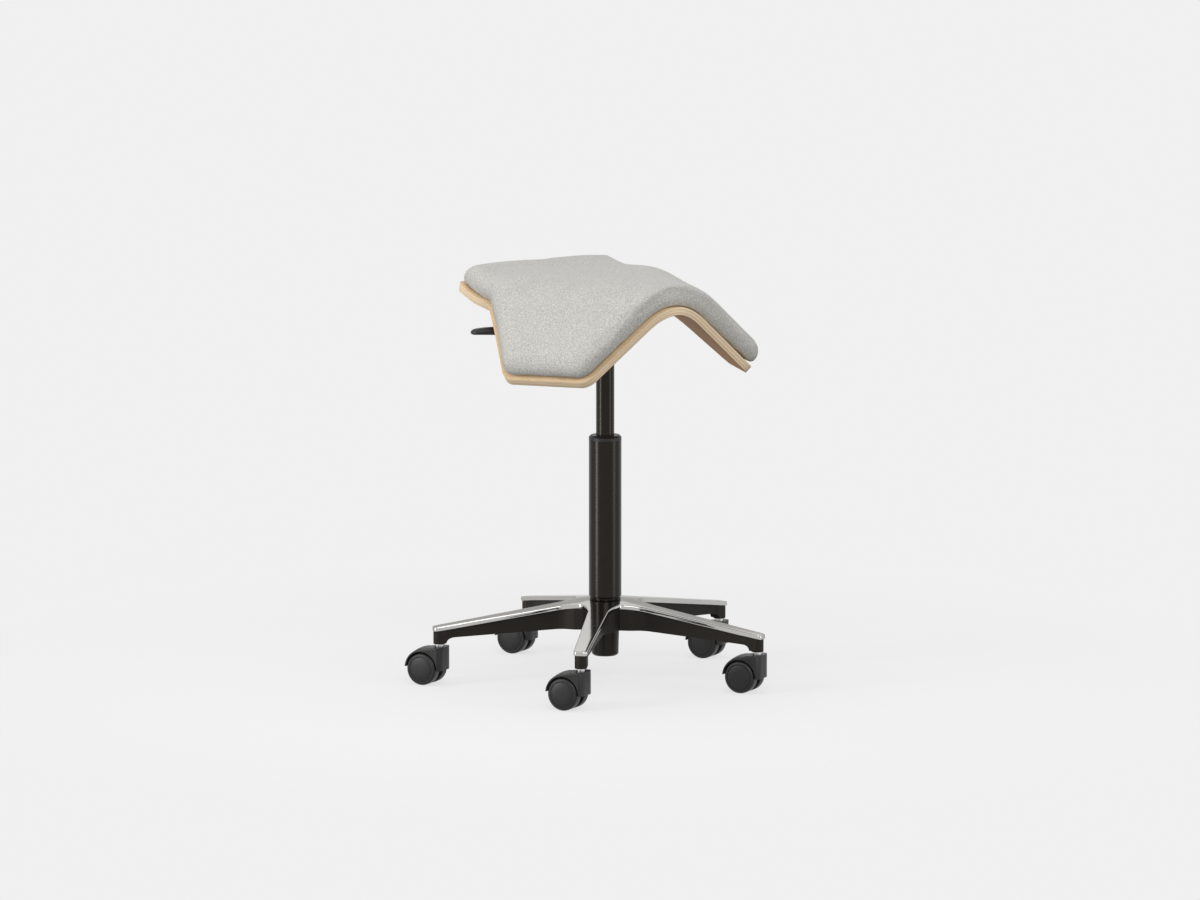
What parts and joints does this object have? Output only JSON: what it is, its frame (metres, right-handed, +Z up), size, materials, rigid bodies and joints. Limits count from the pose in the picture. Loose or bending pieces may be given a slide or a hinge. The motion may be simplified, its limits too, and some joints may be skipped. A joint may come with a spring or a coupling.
{
  "type": "saddle chair",
  "caption": "Height-adjustable saddle chair: upholstered folded plywood saddle on a gas lift with a side lever, over a star base with twin-wheel casters.",
  "frame": {"origin": "centre of the chair's overall box in plan, on the floor", "axes": "+Z up; the sitter faces -Y; the height lever is on the sitter's right, towards -X"},
  "size_m": [0.5459, 0.5497, 0.6318],
  "materials": {
    "black_nylon": "satin black moulded nylon",
    "black_powder_coat": "satin black powder coat",
    "black_rubber": "matt black",
    "bright_steel": "bright ground steel",
    "grey_wool": "heathered light grey woven wool",
    "oak_veneer": "clear matt lacquer over oak veneer, plywood layers on the edges",
    "polished_aluminium": "polished upper plate, black lower body",
    "zinc_plated_steel": "zinc plated"
  },
  "bodies": {
    "base": {"base_casting": "polished_aluminium", "column_tube": "black_powder_coat", "guide_bush": "black_nylon", "caster_stem_1": "bright_steel", "caster_stem_2": "bright_steel", "caster_stem_3": "bright_steel", "caster_stem_4": "bright_steel", "caster_stem_5": "bright_steel", "grip_ring_1": "zinc_plated_steel", "grip_ring_2": "zinc_plated_steel", "grip_ring_3": "zinc_plated_steel", "grip_ring_4": "zinc_plated_steel", "grip_ring_5": "zinc_plated_steel"},
    "spindle": {"piston_rod": "bright_steel", "thrust_bearing": "bright_steel", "rubber_buffer": "black_rubber", "rod_clip": "zinc_plated_steel"},
    "seat": {"gas_cylinder": "black_powder_coat", "taper_socket": "black_powder_coat", "seat_plate": "black_powder_coat", "plate_screw_1": "zinc_plated_steel", "plate_screw_2": "zinc_plated_steel", "plate_screw_3": "zinc_plated_steel", "plate_screw_4": "zinc_plated_steel", "threaded_insert_1": "zinc_plated_steel", "threaded_insert_2": "zinc_plated_steel", "threaded_insert_3": "zinc_plated_steel", "threaded_insert_4": "zinc_plated_steel", "lever_bracket": "black_powder_coat", "lever_pin": "bright_steel", "seat_shell": "oak_veneer", "seat_pad": "grey_wool"},
    "lever": {"lever_arm": "black_powder_coat", "lever_paddle": "black_nylon"},
    "release": {"release_pin": "bright_steel"},
    "caster_1": {"caster_hood_1": "black_nylon", "caster_axle_1": "bright_steel"},
    "wheel_1_left": {"caster_wheel_1_left": "black_nylon"},
    "wheel_1_right": {"caster_wheel_1_right": "black_nylon"},
    "caster_2": {"caster_hood_2": "black_nylon", "caster_axle_2": "bright_steel"},
    "wheel_2_left": {"caster_wheel_2_left": "black_nylon"},
    "wheel_2_right": {"caster_wheel_2_right": "black_nylon"},
    "caster_3": {"caster_hood_3": "black_nylon", "caster_axle_3": "bright_steel"},
    "wheel_3_left": {"caster_wheel_3_left": "black_nylon"},
    "wheel_3_right": {"caster_wheel_3_right": "black_nylon"},
    "caster_4": {"caster_hood_4": "black_nylon", "caster_axle_4": "bright_steel"},
    "wheel_4_left": {"caster_wheel_4_left": "black_nylon"},
    "wheel_4_right": {"caster_wheel_4_right": "black_nylon"},
    "caster_5": {"caster_hood_5": "black_nylon", "caster_axle_5": "bright_steel"},
    "wheel_5_left": {"caster_wheel_5_left": "black_nylon"},
    "wheel_5_right": {"caster_wheel_5_right": "black_nylon"}
  },
  "joints": [
    {"name": "seat_swivel", "type": "hinge", "parent": "base", "child": "spindle", "pos_m": [-0.0007, -0.0337, 0.0542], "axis": [0, 0, 1], "continuous": true},
    {"name": "seat_height", "type": "slide", "parent": "spindle", "child": "seat", "axis": [0, 0, 1], "range_m": [-0.14, 0.06]},
    {"name": "lever_lift", "type": "hinge", "parent": "seat", "child": "lever", "pos_m": [-0.03089, -0.01409, 0.5727], "axis": [0.5446, 0.8387, 0], "range_deg": [0, 5], "stiffness_Nm_per_rad": 2},
    {"name": "pin_press", "type": "slide", "parent": "seat", "child": "release", "axis": [0, 0, -1], "range_m": [0, 0.0034]},
    {"name": "caster_swivel_1", "type": "hinge", "parent": "base", "child": "caster_1", "pos_m": [-0.17846, -0.21945, 0.0588], "axis": [0, 0, 1], "continuous": true},
    {"name": "wheel_spin_1_left", "type": "hinge", "parent": "caster_1", "child": "wheel_1_left", "pos_m": [-0.18822, -0.20029, 0.02469], "axis": [-0.891, -0.454, 0], "continuous": true},
    {"name": "wheel_spin_1_right", "type": "hinge", "parent": "caster_1", "child": "wheel_1_right", "pos_m": [-0.18822, -0.20029, 0.02469], "axis": [-0.891, -0.454, 0], "continuous": true},
    {"name": "caster_swivel_2", "type": "hinge", "parent": "base", "child": "caster_2", "pos_m": [0.12103, -0.26016, 0.0588], "axis": [0, 0, 1], "continuous": true},
    {"name": "wheel_spin_2_left", "type": "hinge", "parent": "caster_2", "child": "wheel_2_left", "pos_m": [0.11127, -0.241, 0.02469], "axis": [-0.891, -0.454, 0], "continuous": true},
    {"name": "wheel_spin_2_right", "type": "hinge", "parent": "caster_2", "child": "wheel_2_right", "pos_m": [0.11127, -0.241, 0.02469], "axis": [-0.891, -0.454, 0], "continuous": true},
    {"name": "caster_swivel_3", "type": "hinge", "parent": "base", "child": "caster_3", "pos_m": [0.25229, 0.01209, 0.0588], "axis": [0, 0, 1], "continuous": true},
    {"name": "wheel_spin_3_left", "type": "hinge", "parent": "caster_3", "child": "wheel_3_left", "pos_m": [0.24253, 0.03125, 0.02469], "axis": [-0.891, -0.454, 0], "continuous": true},
    {"name": "wheel_spin_3_right", "type": "hinge", "parent": "caster_3", "child": "wheel_3_right", "pos_m": [0.24253, 0.03125, 0.02469], "axis": [-0.891, -0.454, 0], "continuous": true},
    {"name": "caster_swivel_4", "type": "hinge", "parent": "base", "child": "caster_4", "pos_m": [0.03393, 0.22106, 0.0588], "axis": [0, 0, 1], "continuous": true},
    {"name": "wheel_spin_4_left", "type": "hinge", "parent": "caster_4", "child": "wheel_4_left", "pos_m": [0.02416, 0.24021, 0.02469], "axis": [-0.891, -0.454, 0], "continuous": true},
    {"name": "wheel_spin_4_right", "type": "hinge", "parent": "caster_4", "child": "wheel_4_right", "pos_m": [0.02416, 0.24021, 0.02469], "axis": [-0.891, -0.454, 0], "continuous": true},
    {"name": "caster_swivel_5", "type": "hinge", "parent": "base", "child": "caster_5", "pos_m": [-0.23229, 0.07795, 0.0588], "axis": [0, 0, 1], "continuous": true},
    {"name": "wheel_spin_5_left", "type": "hinge", "parent": "caster_5", "child": "wheel_5_left", "pos_m": [-0.24205, 0.09711, 0.02469], "axis": [-0.891, -0.454, 0], "continuous": true},
    {"name": "wheel_spin_5_right", "type": "hinge", "parent": "caster_5", "child": "wheel_5_right", "pos_m": [-0.24205, 0.09711, 0.02469], "axis": [-0.891, -0.454, 0], "continuous": true}
  ],
  "couplings": [
    {"joint": "pin_press", "follows": "lever_lift", "m_per_rad": 0.0385}
  ]
}
